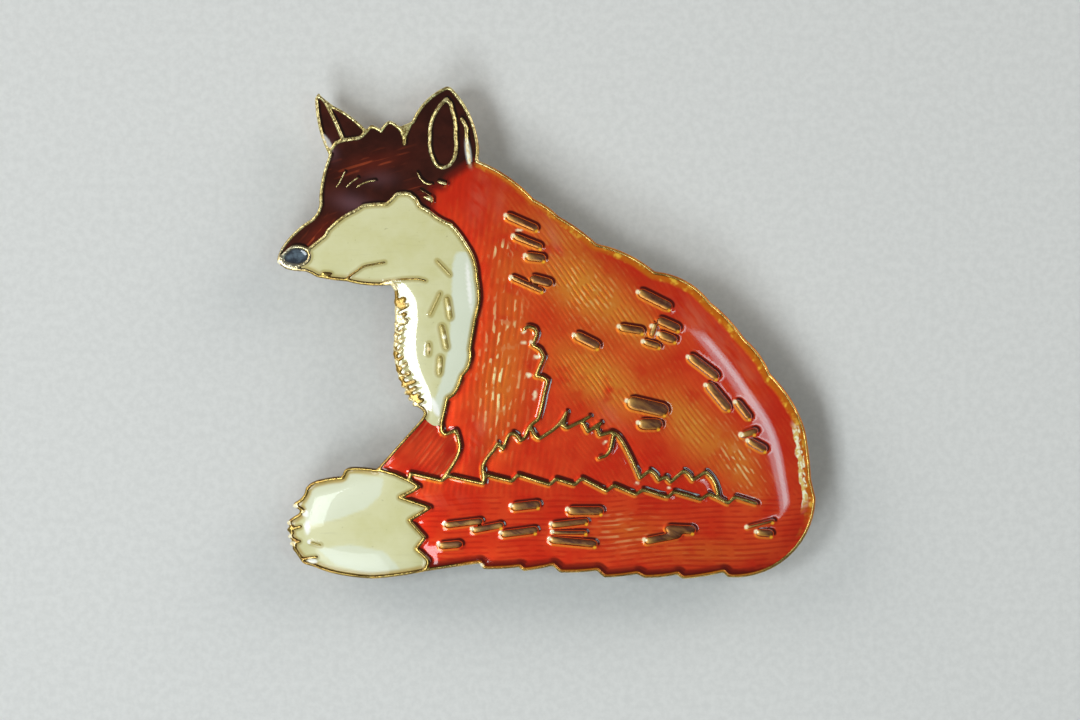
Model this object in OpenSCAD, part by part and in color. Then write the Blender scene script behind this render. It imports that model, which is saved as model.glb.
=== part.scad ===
// Sitting fox brooch: a cast, domed plate with raised walls, enamel in its cells and a pin
// on its back.
// It lies on its pin with the enamelled face up (+Z), the ears toward +Y and the nose toward -X.

/* [Fox] */
// Width of the fox from nose to rump (mm)
fox_w = 50; // [44:1:56]
// Height of the fox from the tail's underside to the near ear's tip (mm)
fox_h = 45.7; // [40:0.1:51]
// Thickness of the casting at the crown of its face (mm)
body_t = 3.9; // [3.8:0.1:5]
// Fall of the domed face from its crown to the lower left corner of the fox's box (mm)
face_fall = 2.65; // [2.4:0.05:2.8]

/* [Walls] */
// Width of the rim along the outline (mm)
rim_w = 0.3; // [0.2:0.02:0.46]
// Width of the walls between the enamel cells (mm)
wire_w = 0.36; // [0.24:0.02:0.6]
// Width of the fine lines of eye, mouth and chin (mm)
line_w = 0.22; // [0.16:0.02:0.4]

/* [Enamel] */
// Depth of the cells below the tops of the walls (mm)
cell_depth = 0.75; // [0.5:0.05:0.9]
// Depth of the enamel's face below the tops of the walls (mm)
enamel_drop = 0.1; // [0:0.02:0.3]
// Clearance round and under each enamel (mm)
enamel_fit = 0.04; // [0.02:0.01:0.06]
// Half the width of the narrowest piece of metal or enamel, seen from above (mm)
narrow = 0.09; // [0.07:0.01:0.12]

/* [Pin] */
// Height of the casting's back above the surface that the brooch lies on (mm)
stand_h = 3.4; // [2.8:0.1:6]
// Length of the bar (mm)
bar_l = 27; // [20:0.5:30]
// Width of the bar (mm)
bar_w = 4.6; // [3:0.2:7]
// Thickness of the bar (mm)
bar_t = 0.8; // [0.5:0.1:1.4]
// Length of the hinge block and of the catch, along the bar (mm)
block_l = 3.2; // [2.4:0.2:5]
// Diameter of the stem (mm)
stem_d = 0.9; // [0.6:0.1:1.3]
// Length of the stem's point (mm)
point_l = 2.4; // [1.5:0.1:4]
// Clearance round the stem in the catch (mm)
catch_gap = 0.2; // [0.1:0.05:0.4]
// Clearance between the bar and the casting's back (mm)
bar_fit = 0.04; // [0.02:0.01:0.1]

/* [Hidden] */
// Longest straight step in a round stretch (mm)
step_l = 0.8;
// Overshoot of cutting shapes (mm)
over = 1;
// Place of the face's crown, in thousandths of the fox's width and height
crown = [540, 440];
// Place of the bar's middle, in thousandths of the fox's width and height
bar_at = [570, 370];
// Turn of the bar, so that both ends stay behind the body (degrees)
bar_turn = -20;
face_top = stand_h + body_t;
// Radius of the domed face, from its fall over the way to the box's corner
face_reach = norm([crown[0] * fox_w, crown[1] * fox_h]) / 1000;
face_r = (face_reach ^ 2 + face_fall ^ 2) / 2 / face_fall;
// Height above the casting's back where tufts are rooted, below the floor of every cell
root_h = (body_t - face_fall - cell_depth) / 2;

// All tables below hold places in thousandths of the fox's width (x) and height (y),
// from the lower left corner of its box. Columns: x, y, bow.
// The bow is the rise of the stretch to the next row, as a share of its length, to its left.

// Outline, clockwise from the nose
BROW = [
    [0, 642, 0.08], [16, 683, 0.05], [66, 731, -0.14],
    [79, 774, 0.04], [97, 860, 0]
];
FAR_EAR = [
    [97, 860, 0.04], [75, 929, 0.02], [70, 976, 0],
    [77, 988, 0], [81, 981, 0], [104, 961, 0.05],
    [166, 911, 0]
];
CROWN = [
    [166, 911, 0], [175, 922, 0.05], [193, 912, 0.08],
    [206, 929, 0.05], [213, 929, 0.05], [228, 917, 0],
    [235, 920, 0], [250, 927, 0]
];
NEAR_EAR = [
    [250, 927, 0.1], [315, 1000, 0.12], [326, 995, 0.09],
    [376, 869, 0], [374, 848, 0]
];
// One row for each lump of fur along the back, then the round of the rump
BACK = [
    [374, 848, 0.06], [477, 770, 0.05], [522, 736, 0.03],
    [594, 679, 0.065], [701, 623, 0.11], [804, 561, 0.04],
    [867, 488, 0.065], [915, 416, 0.065], [980, 302, 0.02],
    [991, 203, 0], [1000, 163, 0.216]
];
// Two rows for each tooth of fur below the tail
UNDER = [
    [837, 3, 0], [828, 13, 0.02], [754, 0, 0.1],
    [743, 9, 0.03], [681, 2, 0], [668, 10, 0.02],
    [607, 3, 0], [594, 17, 0.02], [525, 13, 0],
    [512, 27, 0.02], [457, 16, 0], [450, 24, 0.02],
    [383, 20, 0], [376, 32, 0], [274, 15, 0.02]
];
TAIL_TIP = [
    [178, 0, 0.02], [110, 9, 0.03], [69, 24, 0],
    [54, 28, 0], [47, 32, 0], [34, 53, 0],
    [28, 60, 0], [30, 65, 0], [22, 70, 0],
    [29, 78, 0], [19, 84, 0], [25, 92, 0],
    [17, 99, 0], [24, 106, 0], [17, 114, 0],
    [27, 123, 0], [42, 133, 0], [43, 140, 0],
    [28, 146, 0], [32, 154, 0], [45, 163, -0.1],
    [54, 185, 0.1], [75, 200, 0.03], [121, 208, 0],
    [126, 221, 0.1], [138, 227, 0.03], [186, 223, 0]
];
FAR_LEG = [
    [186, 223, 0], [267, 322, -0.05], [274, 336, -0.15],
    [262, 348, 0]
];
NECK = [
    [262, 348, 0.02], [230, 403, 0.05], [217, 468, -0.02],
    [219, 585, 0.03], [213, 596, 0]
];
JAW = [
    [213, 596, 0.05], [128, 604, 0.02], [75, 612, -0.03],
    [53, 624, 0.03], [18, 628, 0.03]
];

// Walls of the head
EAR_FOLD = [
    [83, 982, 0.02], [123, 890, 0]
];
EAR_ROOT_FRONT = [
    [123, 890, 0], [110, 885, 0], [95, 862, 0]
];
EAR_ROOT_BACK = [
    [123, 890, 0], [152, 894, -0.1], [165, 907, 0],
    [175, 922, 0]
];
EAR_LOOP = [
    [315, 974, 0.12], [326, 949, 0.06], [332, 897, 0.06],
    [330, 852, 0.15], [309, 832, 0.2], [291, 848, 0.08],
    [284, 895, 0.08], [295, 947, 0.05], [315, 974, 0]
];
EAR_EDGE = [
    [343, 933, 0.12], [352, 897, 0], [358, 842, 0]
];
CROWN_END = [
    [228, 915, 0.03], [237, 893, 0], [237, 881, 0]
];
EAR_START = [
    [237, 893, 0.02], [250, 927, 0]
];
// Solid wedge between the crown and the near ear
EAR_WEDGE = [
    [226, 921, 0], [237, 893, 0], [252, 929, 0]
];
NOSE = [
    [10, 644, 0.15], [23, 668, 0.12], [38, 674, 0.1],
    [54, 669, 0.12], [62, 656, 0.15], [54, 640, 0.08],
    [34, 636, 0.05], [10, 644, 0]
];
CHEEK = [
    [62, 670, 0], [91, 695, 0.08], [104, 715, 0.05],
    [149, 747, 0], [160, 756, 0.03], [204, 759, -0.05],
    [223, 780, 0.06], [247, 780, 0.1], [265, 755, 0],
    [285, 743, 0]
];
BIB_SIDE = [
    [285, 743, -0.06], [322, 719, 0.03], [352, 676, 0.05],
    [368, 640, 0.03], [372, 608, 0.03], [376, 565, 0.03],
    [368, 525, 0], [359, 466, 0.08], [359, 442, 0.1],
    [344, 412, 0.03], [333, 381, 0.1], [317, 367, 0],
    [306, 314, 0]
];
// Where two enamels meet without a wall: brown to red behind the ear, cream to red under the bib
EAR_SEAM = [
    [370, 848, 0], [352, 839, 0], [317, 812, 0],
    [315, 796, 0], [289, 794, 0], [286, 757, 0],
    [285, 743, 0]
];
BIB_SEAM = [
    [306, 314, 0.15], [291, 311, 0.05], [272, 329, 0]
];

// Walls of the legs and the tail
CHEST = [
    [306, 314, 0], [307, 300, -0.15], [315, 294, 0],
    [333, 302, 0.03], [341, 270, 0.05], [335, 246, 0.02],
    [307, 200, 0]
];
FAR_PAW = [
    [186, 223, 0], [219, 213, 0], [248, 199, 0]
];
FAR_HEEL = [
    [248, 199, 0], [248, 215, 0], [307, 200, 0]
];
NEAR_PAW = [
    [307, 200, 0], [319, 210, 0], [385, 194, 0]
];
LEG_BACK = [
    [385, 194, 0], [383, 230, 0.05], [402, 260, 0],
    [411, 276, 0], [420, 263, 0], [428, 286, 0.15],
    [439, 297, 0.1], [452, 281, -0.15], [463, 292, 0.05],
    [470, 310, 0]
];
SHOULDER = [
    [470, 310, 0.05], [485, 323, -0.02], [496, 373, 0],
    [503, 403, -0.12], [481, 412, 0], [496, 450, -0.15],
    [474, 475, -0.05], [483, 496, -0.25], [470, 512, -0.2],
    [459, 505, 0]
];
HAUNCH = [
    [470, 310, 0], [478, 292, -0.1], [488, 285, 0],
    [512, 302, -0.07], [538, 339, 0], [531, 312, -0.1],
    [540, 307, 0], [566, 321, 0], [577, 299, 0],
    [601, 317, 0], [594, 306, 0], [599, 292, 0],
    [621, 299, 0.1], [640, 280, 0.02],
    [673, 205, 0], [692, 221, 0.1], [708, 201, 0],
    [721, 208, 0], [730, 197, 0], [754, 220, 0.1],
    [771, 201, 0], [795, 218, 0.1], [817, 179, 0],
    [819, 164, 0]
];
HAUNCH_SPUR = [
    [566, 321, 0], [581, 330, 0]
];
HAUNCH_FOLD = [
    [625, 297, 0], [620, 268, 0.1], [610, 250, 0],
    [597, 246, 0]
];
// Two rows for each tooth of fur along the tail
TAIL_TOP = [
    [385, 194, 0], [389, 212, 0], [437, 199, 0],
    [448, 212, 0], [507, 192, 0], [518, 204, 0],
    [553, 192, 0], [566, 205, 0], [612, 179, 0],
    [625, 191, 0], [666, 172, 0], [679, 182, 0],
    [725, 166, 0], [736, 178, 0], [786, 162, 0],
    [801, 173, 0], [819, 164, 0]
];
TAIL_END = [
    [819, 164, 0], [837, 154, 0], [849, 167, 0],
    [889, 153, 0]
];
TAIL_TEETH = [
    [248, 199, 0], [265, 187, 0.02], [228, 166, 0],
    [285, 145, 0], [246, 119, 0], [275, 84, 0],
    [259, 61, 0.03], [282, 37, 0.05], [274, 15, 0]
];

// Fine lines of the face
MOUTH = [
    [127, 605, 0.03], [152, 626, 0.08], [167, 635, 0],
    [202, 642, 0]
];
CHIN = [
    [200, 602, 0.02], [248, 608, 0.06], [278, 604, 0]
];
LASH_FRONT = [
    [110, 794, -0.05], [119, 808, 0], [127, 827, 0]
];
LASH_MIDDLE = [
    [129, 794, 0.05], [152, 814, 0]
];
LASH_BACK = [
    [148, 794, 0.08], [184, 808, 0]
];
EAR_FRINGE = [
    [261, 824, -0.1], [276, 802, -0.1], [289, 800, 0]
];

// Tufts of fur, one row each. Columns: x and y of one end, x and y of the other,
// width in thousandths of the fox's width
BACK_TUFTS = [
    [431, 734, 479, 711, 15], [444, 693, 488, 674, 13], [468, 653, 492, 650, 17],
    [439, 610, 490, 585, 11], [477, 608, 505, 600, 17], [559, 492, 592, 474, 18],
    [677, 579, 725, 553, 18], [640, 509, 675, 503, 15], [712, 523, 741, 509, 17],
    [701, 515, 695, 496, 11], [714, 494, 734, 486, 17], [684, 480, 706, 473, 13],
    [769, 448, 812, 412, 17], [802, 391, 834, 349, 18], [854, 357, 874, 329, 13],
    [865, 292, 886, 300, 13], [878, 278, 902, 264, 15], [660, 357, 714, 343, 26],
    [679, 314, 705, 314, 22]
];
TAIL_TUFTS = [
    [442, 147, 483, 152, 17], [317, 110, 378, 118, 13], [368, 100, 416, 110, 13],
    [422, 92, 479, 100, 15], [307, 68, 339, 71, 15], [546, 139, 599, 139, 17],
    [514, 110, 573, 118, 13], [514, 95, 572, 95, 9], [512, 80, 588, 72, 15],
    [688, 78, 745, 90, 15], [727, 102, 769, 100, 17], [873, 105, 921, 118, 7],
    [895, 94, 915, 92, 15]
];
BIB_TUFTS = [
    [304, 579, 285, 535, 7], [317, 567, 322, 531, 13], [307, 511, 315, 470, 13],
    [283, 476, 282, 456, 9], [304, 448, 302, 418, 13], [298, 644, 322, 616, 7]
];
HEAD_TUFTS = [
    [300, 805, 315, 800, 7], [265, 788, 290, 771, 6], [274, 774, 290, 764, 6],
    [86, 620, 102, 619, 6]
];
TIP_TUFTS = [
    [19, 98, 45, 106, 6], [25, 70, 43, 76, 6], [62, 74, 82, 68, 6],
    [45, 39, 75, 44, 6], [38, 147, 51, 137, 6]
];
NECK_RIDGES = [
    [223, 561, 237, 567, 11], [223, 545, 243, 555, 9], [224, 529, 239, 537, 9],
    [223, 516, 241, 523, 11], [221, 493, 234, 503, 9], [221, 476, 234, 484, 9],
    [220, 456, 232, 464, 9], [223, 442, 234, 450, 7], [226, 424, 241, 436, 9],
    [230, 407, 247, 418, 9], [235, 392, 256, 401, 9], [241, 377, 258, 387, 9],
    [248, 365, 265, 375, 9], [256, 354, 271, 363, 9]
];

// Place in mm of a table row
function place(row) = [(row[0] / 1000 - 0.5) * fox_w, (row[1] / 1000 - 0.5) * fox_h];

// Points from a up to b, without b, on an arc that rises to the left by bow times the chord
function arc_points(a, b, bow) =
    let (chord = norm(b - a))
    let (along = (b - a) / chord)
    let (left = [-along[1], along[0]])
    let (half = 2 * atan(2 * abs(bow)))
    let (r = chord / 2 / sin(half))
    let (n = max(2, ceil(chord / step_l)))
    [for (i = [0 : n - 1])
        let (turn = half * (2 * i / n - 1))
        let (rise = sign(bow) * r * (cos(turn) - cos(half)))
        a + along * (chord / 2 + r * sin(turn)) + left * rise];

// Points in mm of a whole table
function path(rows) = [
    for (i = [0 : len(rows) - 2])
        let (a = place(rows[i]), b = place(rows[i + 1]))
        if (norm(b - a) > 0)
            each (rows[i][2] == 0 ? [a] : arc_points(a, b, rows[i][2])),
    place(rows[len(rows) - 1])
];

// The same table from its last row to its first
function reversed(rows) = [
    for (i = [len(rows) - 1 : -1 : 0])
        [rows[i][0], rows[i][1], i > 0 ? -rows[i - 1][2] : 0]
];

// Straight rows through points that lie outside the outline
function outside(points) = [for (p = points) [p[0], p[1], 0]];

// Straight bar of the given width from a to b, with round ends
function bar_points(a, b, w) =
    let (heading = atan2(b[1] - a[1], b[0] - a[0]))
    concat(
        [for (turn = [90 : 45 : 270]) a + w / 2 * [cos(heading + turn), sin(heading + turn)]],
        [for (turn = [-90 : 45 : 90]) b + w / 2 * [cos(heading + turn), sin(heading + turn)]]
    );

// A line of the given width along a table
module stroke(rows, w) {
    points = path(rows);
    for (i = [0 : len(points) - 2])
        polygon(bar_points(points[i], points[i + 1], w));
}

// Straight tufts with round ends, widened on every side by the given amount
module tufts(rows, more = 0) {
    for (row = rows)
        polygon(bar_points(place([row[0], row[1]]), place([row[2], row[3]]),
                           row[4] / 1000 * fox_w + 2 * more));
}

// Drops every part too narrow to cast or to fill
module without_slivers() {
    offset(delta = narrow)
        offset(delta = -narrow)
            children();
}

module outline() {
    without_slivers() {
        polygon(path(concat(BROW, FAR_EAR, CROWN, NEAR_EAR, BACK, UNDER,
                            TAIL_TIP, FAR_LEG, NECK, JAW)));
        tufts(NECK_RIDGES);
    }
}

// Lines and tufts that grow out of a wall or the rim
module lines() {
    for (rows = [EAR_EDGE, CROWN_END, EAR_START, FAR_HEEL, NEAR_PAW, SHOULDER, HAUNCH_SPUR,
                 HAUNCH_FOLD, TAIL_END])
        stroke(rows, wire_w);
    for (rows = [MOUTH, CHIN, LASH_FRONT, LASH_MIDDLE, LASH_BACK, EAR_FRINGE])
        stroke(rows, line_w);
    tufts(HEAD_TUFTS);
    tufts(TIP_TUFTS);
    tufts(NECK_RIDGES);
    polygon(path(EAR_WEDGE));
}

// Regions of the enamels, bounded by the middles of the walls and by points beyond the rim
module head_region() {
    difference() {
        polygon(path(concat(reversed(EAR_ROOT_FRONT), EAR_ROOT_BACK,
                            outside([[175, 1060], [430, 1060], [430, 848]]),
                            EAR_SEAM, reversed(CHEEK),
                            outside([[38, 655], [-40, 655], [-40, 862]]))));
        nose_region();
        near_ear_region();
    }
}

module nose_region() {
    polygon(path(NOSE));
}

module near_ear_region() {
    polygon(path(EAR_LOOP));
}

module face_region() {
    difference() {
        polygon(path(concat(CHEEK, BIB_SIDE, BIB_SEAM,
                            outside([[240, 338], [180, 400], [180, 580], [-40, 580],
                                     [38, 655]]))));
        nose_region();
    }
}

module far_ear_front_region() {
    polygon(path(concat(EAR_FOLD, EAR_ROOT_FRONT,
                        outside([[30, 862], [30, 1010]]))));
}

module far_ear_back_region() {
    polygon(path(concat(reversed(EAR_FOLD), outside([[90, 1010], [175, 1000]]),
                        reversed(EAR_ROOT_BACK))));
}

module far_leg_region() {
    polygon(path(concat(reversed(BIB_SEAM), CHEST, reversed(FAR_HEEL), reversed(FAR_PAW),
                        outside([[150, 240], [230, 330]]))));
}

module tail_tip_region() {
    polygon(path(concat(FAR_PAW, TAIL_TEETH,
                        outside([[274, -60], [-60, -60], [-60, 300], [150, 300]]))));
}

module hind_leg_region() {
    polygon(path(concat(LEG_BACK, HAUNCH, reversed(TAIL_TOP))));
}

module body_region() {
    difference() {
        polygon(path(concat(EAR_SEAM, BIB_SIDE, CHEST, reversed(FAR_HEEL), TAIL_TEETH,
                            outside([[274, -60], [1100, -60], [1100, 900], [430, 900]]))));
        hind_leg_region();
    }
}

// Opening between the walls round a region
module opening() {
    without_slivers()
        difference() {
            intersection() {
                offset(delta = -rim_w)
                    outline();
                offset(r = -wire_w / 2, $fn = 22)
                    children();
            }
            lines();
        }
}

module head_and_body_opening() {
    opening() {
        head_region();
        body_region();
    }
}

module face_and_leg_opening() {
    opening() {
        face_region();
        far_leg_region();
    }
}

// Everything below the domed face, lowered by the given depth
module below_face(depth) {
    translate(concat(place(crown), [face_top - depth - face_r]))
        rotate([90, 0, 0])
            sphere(r = face_r, $fn = 256);
}

// Room for enamel in the casting, from the cell's floor to above the face
module cell() {
    difference() {
        translate([0, 0, stand_h])
            linear_extrude(body_t + over)
                children();
        below_face(cell_depth);
    }
}

// Tufts that stand free in the enamel
module free_tufts(rows, more = 0) {
    translate([0, 0, stand_h + root_h])
        linear_extrude(body_t)
            tufts(rows, more);
}

// One enamel: its opening less the clearance, between the cell's floor and its own domed face
module enamel(tuft_rows) {
    difference() {
        intersection() {
            translate([0, 0, stand_h])
                linear_extrude(body_t + over)
                    offset(delta = -enamel_fit)
                        children();
            below_face(enamel_drop);
        }
        below_face(cell_depth - enamel_fit);
        free_tufts(tuft_rows, enamel_fit);
    }
}

module metal_body() {
    color("goldenrod") {
        difference() {
            intersection() {
                translate([0, 0, stand_h])
                    linear_extrude(body_t + over)
                        outline();
                below_face(0);
            }
            cell()
                head_and_body_opening();
            cell()
                face_and_leg_opening();
            cell()
                opening()
                    far_ear_front_region();
            cell()
                opening()
                    far_ear_back_region();
            cell()
                opening()
                    near_ear_region();
            cell()
                opening()
                    nose_region();
            cell()
                opening()
                    tail_tip_region();
            cell()
                opening()
                    hind_leg_region();
        }
        intersection() {
            free_tufts(concat(BACK_TUFTS, TAIL_TUFTS, BIB_TUFTS));
            below_face(0);
        }
    }
}

module enamel_head() {
    color("saddlebrown")
        enamel([])
            intersection() {
                head_and_body_opening();
                head_region();
            }
}

module enamel_far_ear_front() {
    color("sienna")
        enamel([])
            opening()
                far_ear_front_region();
}

module enamel_far_ear_back() {
    color("maroon")
        enamel([])
            opening()
                far_ear_back_region();
}

module enamel_near_ear() {
    color("brown")
        enamel([])
            opening()
                near_ear_region();
}

module enamel_nose() {
    color("slategray")
        enamel([])
            opening()
                nose_region();
}

module enamel_face() {
    color("cornsilk")
        enamel(BIB_TUFTS)
            intersection() {
                face_and_leg_opening();
                face_region();
            }
}

module enamel_far_leg() {
    color("orangered")
        enamel([])
            intersection() {
                face_and_leg_opening();
                far_leg_region();
            }
}

module enamel_body() {
    color("tomato")
        enamel(concat(BACK_TUFTS, TAIL_TUFTS))
            intersection() {
                head_and_body_opening();
                body_region();
            }
}

module enamel_hind_leg() {
    color("firebrick")
        enamel(concat(BACK_TUFTS, TAIL_TUFTS))
            opening()
                hind_leg_region();
}

module enamel_tail_tip() {
    color("wheat")
        enamel([])
            opening()
                tail_tip_region();
}

// Bar with a hinge block at its right end, a catch at its left end and the stem between them
module pin_back() {
    bar_top = stand_h - bar_fit;
    stem_z = (bar_top - bar_t) / 2;
    slot_h = stem_d + 2 * catch_gap;
    color("darkgoldenrod")
        translate(place(bar_at))
            rotate([0, 0, bar_turn]) {
                translate([-bar_l / 2, -bar_w / 2, bar_top - bar_t])
                    cube([bar_l, bar_w, bar_t]);
                translate([bar_l / 2 - block_l, -bar_w / 2, 0])
                    cube([block_l, bar_w, bar_top]);
                difference() {
                    translate([-bar_l / 2, -bar_w / 2, 0])
                        cube([block_l, bar_w, bar_top]);
                    translate([-bar_l / 2 - over, -stem_d / 2 - catch_gap, stem_z - slot_h / 2])
                        cube([block_l + 2 * over, bar_w, slot_h]);
                }
                translate([-bar_l / 2 + point_l / 2, 0, stem_z])
                    rotate([0, 90, 0])
                        cylinder(d = stem_d, h = bar_l - block_l, $fn = 32);
                translate([-bar_l / 2 - point_l / 2, 0, stem_z])
                    rotate([0, 90, 0])
                        cylinder(d1 = 0, d2 = stem_d, h = point_l, $fn = 32);
            }
}

metal_body();
enamel_head();
enamel_far_ear_front();
enamel_far_ear_back();
enamel_near_ear();
enamel_nose();
enamel_face();
enamel_far_leg();
enamel_body();
enamel_hind_leg();
enamel_tail_tip();
pin_back();
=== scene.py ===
import math

import bpy
import numpy as np
from mathutils import Matrix, Vector, kdtree
from mathutils.geometry import delaunay_2d_cdt


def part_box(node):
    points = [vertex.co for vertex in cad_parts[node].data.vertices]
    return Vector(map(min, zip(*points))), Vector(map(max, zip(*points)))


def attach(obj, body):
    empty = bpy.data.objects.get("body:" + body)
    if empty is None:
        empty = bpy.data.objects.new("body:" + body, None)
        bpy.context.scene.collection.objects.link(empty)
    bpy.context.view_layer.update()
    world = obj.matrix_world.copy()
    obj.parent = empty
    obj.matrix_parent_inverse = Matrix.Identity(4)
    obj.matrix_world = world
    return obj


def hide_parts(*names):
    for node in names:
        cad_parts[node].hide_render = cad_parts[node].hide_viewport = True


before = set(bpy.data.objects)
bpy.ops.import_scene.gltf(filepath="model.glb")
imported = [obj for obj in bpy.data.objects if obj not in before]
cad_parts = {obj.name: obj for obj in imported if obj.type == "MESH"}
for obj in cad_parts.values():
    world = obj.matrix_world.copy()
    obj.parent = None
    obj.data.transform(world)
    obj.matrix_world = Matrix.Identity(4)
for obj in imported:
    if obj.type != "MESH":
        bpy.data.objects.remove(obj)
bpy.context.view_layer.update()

# All lengths are in millimetres until a mesh is written
MM = 0.001

# The photograph's frame: its own centre and the fox's centre, in pixels, and the scale
PHOTO_SIZE = (1080, 720)
FOX_CENTRE_PX = (546.25, 332.25)
MM_PER_PX = 0.0923

# Casting: its lips, sides and plates, and the largest area of a tuft in square millimetres
WALL_DROP = 0.05
TUFT_AREA = 6.0
WALL_ROUND = 0.17
TUFT_ROUND = 0.48
TUFT_DEPTH = 0.22
BACK_ROUND = 0.2
SKIRT_DEPTH = 0.45
SIDE_ROWS = (0.35, 0.7)
BACK_TURNS = (0, 30, 60, 90)
PLATE_STEP = 1.0
PLATE_CLEAR = 0.5

# Roll of the whole face towards its outline, and of each enamel towards its walls
ROLL_BLUR = 1.5
ROLL_DROP = 0.34
CELL_BLUR = 0.7
CELL_DROP = 0.12

# Enamel
ENAMEL_DROP = 0.11
ENAMEL_BURY = 0.05
GLAZE_DEPTH = 0.5
# An enamel's edge goes under metal nearer than the first, and elsewhere over a seam between
# two enamels by the second; what is further from metal than the third counts as a seam
ON_METAL = 0.1
SEAM_REACH = 0.04
OFF_METAL = 0.15
MENISCUS_RISE = {"red": 0.052, "leg": 0.04, "brown": 0.015, "cream": 0.02, "tip": 0.02, "slate": 0.015}
MENISCUS_WIDTH = 0.19
# Shares of the painted sheet reflections on the cream and on the tail's tip
SHEET_SHARES = {"cream": 1.0, "tip": 0.7}

# Direction from the lower left edge of a wall or tuft to its upper right edge; it sets which sides get
# painted light and which get painted shade
GLEAM = (0.72, 0.69)

# Mesh steps along edges, then rings inside them and a grid clear of them, for the casting (rings as
# shares of the wall's round) and for enamel; ring points nearer to an edge than a share are dropped
EDGE_STEP = 0.09
CORNER_ROUNDS = 4
LEAST_STEPS = 8
LIP_RINGS = (0.06, 0.23, 0.5, 0.85)
WALL_GRID = 0.16
WALL_CLEAR = 0.2
GLAZE_RINGS = (0.01, 0.05, 0.1, 0.17, 0.26, 0.38)
GLAZE_GRID = 0.24
GLAZE_CLEAR = 0.45
RING_SHARE = 0.93

# Raster of a blurred region, with the kernel's reach and the margin in blurs
RASTER_STEP = 0.1
KERNEL_REACH = 3
RASTER_MARGIN = 4

# Small limits, decimals of merged corners, an upward normal's least rise and a far distance
TINY = 1e-9
CLOSE = 1e-6
CDT_REACH = 1e-7
MERGE_DECIMALS = 3
UPWARD = 0.9
NOWHERE = 99.0

# The pin and its small bevels, whose angle is in degrees
WELD_REACH = 0.001
PIN_BEVEL = 0.12
PIN_ANGLE = 40

ENAMELS = {
    "enamel_head": "brown",
    "enamel_far_ear_front": "brown",
    "enamel_far_ear_back": "brown",
    "enamel_near_ear": "brown",
    "enamel_nose": "slate",
    "enamel_face": "cream",
    "enamel_far_leg": "leg",
    "enamel_body": "red",
    "enamel_hind_leg": "red",
    "enamel_tail_tip": "tip",
}

# Limits of the bib and of the tail's tip, and where zones of the face fade out, in x or y
BIB_RIGHT, BIB_LOW, BIB_TOP = -6.5, -9, 8
TIP_RIGHT = -14.5
HEAD_LOW, HEAD_RIGHT = (6.5, 10.0), (-8.0, -3.0)
RIM_LIGHT_LEFT = (-9, -7)

# Painted highlight at a tuft's left end, painted golden light at its lower end, and how far both reach
SHINE_WAY, SHINE_REACH, SHINE_FADE = (-0.94, 0.34), 0.21, (0.25, 0.8)
EMBER_WAY, EMBER_REACH, EMBER_FADE = (0.35, -0.94), 0.17, (0.25, 0.9)
LIGHT_GAIN = 1.2
# A tuft's end lightened by painted light and its reddish edge, its area over its squared length when slim,
# the painted amber light on the rim, and how far two bright lines of painted light lie inside the rump's edge
LIT_END_REACH = 0.65
BRINK_WIDTH = 0.24
SLIM_SHARE = 0.16
RIM_WIDTH, RIM_SHARE = 0.4, 1.5
RIM_LIGHT_TURN = (0.1, 0.6)
RUMP_LINES = (0.98, 0.62)

# Broad places where light comes back from the metal under the red enamel, painted as a golden glow.
# Columns: x and y in the photograph's pixels, half length and half width in mm, turn, strength
GLOWS = [
    (585, 290, 5.0, 2.4, -35, 1.0), (600, 378, 4.6, 2.2, -35, 0.9), (690, 425, 3.8, 1.8, -55, 0.8),
    (738, 462, 3.4, 1.6, -60, 0.6), (510, 290, 6.0, 1.8, -85, 0.25), (500, 385, 5.0, 2.0, 85, 0.5),
    (560, 235, 4.0, 1.5, -40, 0.4), (640, 330, 2.6, 1.6, -40, 0.5), (628, 530, 3.0, 1.4, 0, 0.3),
    (700, 552, 5.0, 1.2, 0, 0.25),
]
# Places where the face is flatter than elsewhere
FLATS = [
    (345, 178, 10.0, 7.0, 0, 2.0), (298, 252, 4.5, 2.6, 40, 2.0), (402, 446, 2.8, 2.2, 50, 1.2),
]
# Outlines of the painted reflections of cool sheets of light on the bib and on the tail's tip, in the
# photograph's pixels
SHEET_STEP, SHEET_ROUNDS, SHEET_FADE = 0.2, 2, (-0.1, 0.14)
REFLECTED_SHEETS = [
    [(456, 252), (452, 264), (451, 300), (449, 345), (441, 380), (432, 408), (440, 416), (500, 345),
     (490, 250)],
    [(312, 488), (352, 473), (384, 478), (380, 496), (366, 509), (340, 519), (309, 527), (302, 510)],
    [(316, 550), (350, 545), (384, 552), (401, 571), (366, 575), (334, 566)],
]
# Paler, greyer metal round the nose
SILVER = [(292, 256, 1.5, 1.1, 0, 1.2)]
# The ridged edge of the neck, whose pale lobes are painted highlights
COMBS = [
    (398, 292, 1.1, 2.0, 0, 1.5), (396, 340, 1.1, 2.8, 0, 1.5), (404, 392, 1.2, 2.2, 0, 1.5),
]
# Metal showing through at the rump's edge, painted as bright light
RUMP = [(800, 466, 3.6, 1.4, 90, 1.5)]
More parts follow.
